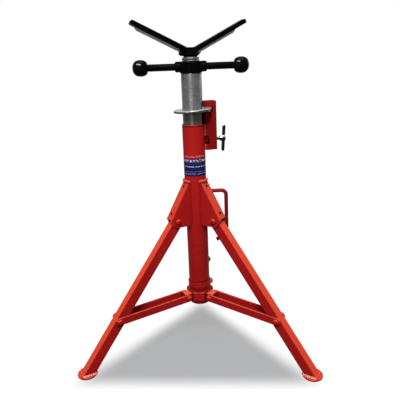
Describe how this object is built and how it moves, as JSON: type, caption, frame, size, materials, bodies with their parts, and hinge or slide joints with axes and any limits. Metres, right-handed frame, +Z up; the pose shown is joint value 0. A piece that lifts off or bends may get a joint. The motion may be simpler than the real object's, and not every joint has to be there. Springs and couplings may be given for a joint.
{
  "type": "pipe jack stand",
  "caption": "Folding pipe stand: round column on braced tripod legs, sliding tube with friction ring and wing screw, jack screw with cross handle and swivelling V head.",
  "frame": {"origin": "on the floor, in the middle of the box round the stand; the column's axis stands 89.2 mm towards -Y of it", "axes": "+Z up along the column, one leg towards +Y, the other two towards -Y on either side, +X to the right of a viewer at -Y"},
  "size_m": [0.6722, 0.5894, 0.9195],
  "materials": {
    "red_paint": "glossy orange-red paint",
    "zinc_plate": "mottled grey zinc plate",
    "black_enamel": "gloss black enamel",
    "knob_plastic": "gloss black moulded plastic",
    "plain_steel": "plain steel, lightly zinc plated"
  },
  "bodies": {
    "column": {"outer_column": "red_paint", "ring_bracket": "red_paint", "wing_screw_nut": "red_paint", "carry_handle": "red_paint", "ring_spring": "plain_steel", "leg_bracket_left": "red_paint", "leg_bolt_left": "red_paint", "leg_nut_left": "plain_steel", "leg_bracket_right": "red_paint", "leg_bolt_right": "red_paint", "leg_nut_right": "plain_steel", "leg_bracket_rear": "red_paint", "leg_bolt_rear": "red_paint", "leg_nut_rear": "plain_steel"},
    "leg_left_fold": {"leg_left": "red_paint", "pivot_sleeve_left": "plain_steel", "foot_pad_left": "red_paint", "brace_sleeve_left": "plain_steel"},
    "leg_right_fold": {"leg_right": "red_paint", "pivot_sleeve_right": "plain_steel", "foot_pad_right": "red_paint", "brace_sleeve_right": "plain_steel"},
    "leg_rear_fold": {"leg_rear": "red_paint", "pivot_sleeve_rear": "plain_steel", "foot_pad_rear": "red_paint", "brace_sleeve_rear": "plain_steel"},
    "collar": {"sliding_collar": "red_paint", "collar_bolt_left": "red_paint", "collar_nut_left": "plain_steel", "collar_bolt_right": "red_paint", "collar_nut_right": "plain_steel", "collar_bolt_rear": "red_paint", "collar_nut_rear": "plain_steel"},
    "lock_bolt": {"collar_lock_bolt": "plain_steel"},
    "brace_left_pair": {"brace_front_left": "red_paint", "brace_back_left": "red_paint", "brace_bolt_left": "red_paint", "brace_nut_left": "plain_steel"},
    "brace_right_pair": {"brace_front_right": "red_paint", "brace_back_right": "red_paint", "brace_bolt_right": "red_paint", "brace_nut_right": "plain_steel"},
    "brace_rear_pair": {"brace_front_rear": "red_paint", "brace_back_rear": "red_paint", "brace_bolt_rear": "red_paint", "brace_nut_rear": "plain_steel"},
    "ring": {"friction_ring": "zinc_plate"},
    "wing_stud": {"wing_screw_stud": "zinc_plate"},
    "wing_handle": {"wing_screw_handle": "zinc_plate"},
    "tube": {"inner_tube": "zinc_plate"},
    "screw": {"jack_screw": "zinc_plate"},
    "handle": {"handle_nut": "black_enamel", "handle_bar_right": "black_enamel", "handle_bar_left": "black_enamel", "ball_knob_right": "knob_plastic", "ball_knob_left": "knob_plastic"},
    "head": {"v_head": "black_enamel", "arm_rib_right": "plain_steel", "arm_rib_left": "plain_steel"}
  },
  "joints": [
    {"name": "leg_left_hinge", "type": "hinge", "parent": "column", "child": "leg_left_fold", "pos_m": [-0.05707, -0.1222, 0.3975], "axis": [0.5, -0.866, 0], "range_deg": [0, 32]},
    {"name": "leg_right_hinge", "type": "hinge", "parent": "column", "child": "leg_right_fold", "pos_m": [0.05707, -0.1222, 0.3975], "axis": [0.5, 0.866, 0], "range_deg": [0, 32]},
    {"name": "leg_rear_hinge", "type": "hinge", "parent": "column", "child": "leg_rear_fold", "pos_m": [0, -0.02335, 0.3975], "axis": [-1, 0, 0], "range_deg": [0, 32]},
    {"name": "collar_slide", "type": "slide", "parent": "column", "child": "collar", "axis": [0, 0, 1], "range_m": [0, 0.13371]},
    {"name": "brace_left_hinge", "type": "hinge", "parent": "collar", "child": "brace_left_pair", "pos_m": [-0.0381, -0.11125, 0.1535], "axis": [0.5, -0.866, 0], "range_deg": [0, 73.93]},
    {"name": "brace_right_hinge", "type": "hinge", "parent": "collar", "child": "brace_right_pair", "pos_m": [0.0381, -0.11125, 0.1535], "axis": [0.5, 0.866, 0], "range_deg": [0, 73.93]},
    {"name": "brace_rear_hinge", "type": "hinge", "parent": "collar", "child": "brace_rear_pair", "pos_m": [0, -0.04525, 0.1535], "axis": [-1, 0, 0], "range_deg": [0, 73.93]},
    {"name": "lock_bolt_turn", "type": "hinge", "parent": "collar", "child": "lock_bolt", "pos_m": [-0.03334, -0.07, 0.1575], "axis": [-0.866, 0.5, 0], "range_deg": [0, 360]},
    {"name": "ring_tilt", "type": "hinge", "parent": "column", "child": "ring", "pos_m": [0, -0.08925, 0.6962], "axis": [-0.3256, 0.9455, 0], "range_deg": [0, 4.5], "stiffness_Nm_per_rad": 4, "springref_deg": -2.86, "deforming": ["ring_spring"]},
    {"name": "wing_stud_travel", "type": "slide", "parent": "column", "child": "wing_stud", "axis": [0.9455, 0.3256, 0], "range_m": [0, 0.0101]},
    {"name": "wing_turn", "type": "hinge", "parent": "wing_stud", "child": "wing_handle", "pos_m": [0.07611, -0.06304, 0.616], "axis": [0.9455, 0.3256, 0], "range_deg": [0, 2400]},
    {"name": "tube_slide", "type": "slide", "parent": "column", "child": "tube", "axis": [0, 0, 1], "range_m": [-0.07, 0.39]},
    {"name": "handle_turn", "type": "hinge", "parent": "tube", "child": "handle", "pos_m": [0, -0.08925, 0.8072], "axis": [0, 0, 1], "range_deg": [-5400, 600]},
    {"name": "screw_travel", "type": "slide", "parent": "tube", "child": "screw", "axis": [0, 0, 1], "range_m": [-0.0101, 0.0901]},
    {"name": "head_swivel", "type": "hinge", "parent": "screw", "child": "head", "pos_m": [0, -0.08925, 0.8308], "axis": [0, 0, 1], "continuous": true}
  ],
  "couplings": [
    {"joint": "leg_right_hinge", "follows": "leg_left_hinge", "ratio": 1},
    {"joint": "leg_rear_hinge", "follows": "leg_left_hinge", "ratio": 1},
    {"joint": "collar_slide", "follows": "leg_left_hinge", "m_per_rad": 0.23939},
    {"joint": "brace_left_hinge", "follows": "leg_left_hinge", "ratio": 2.3101},
    {"joint": "brace_right_hinge", "follows": "leg_left_hinge", "ratio": 2.3101},
    {"joint": "brace_rear_hinge", "follows": "leg_left_hinge", "ratio": 2.3101},
    {"joint": "wing_stud_travel", "follows": "wing_turn", "m_per_rad": 0.00023873},
    {"joint": "screw_travel", "follows": "handle_turn", "m_per_rad": -0.00095493}
  ]
}
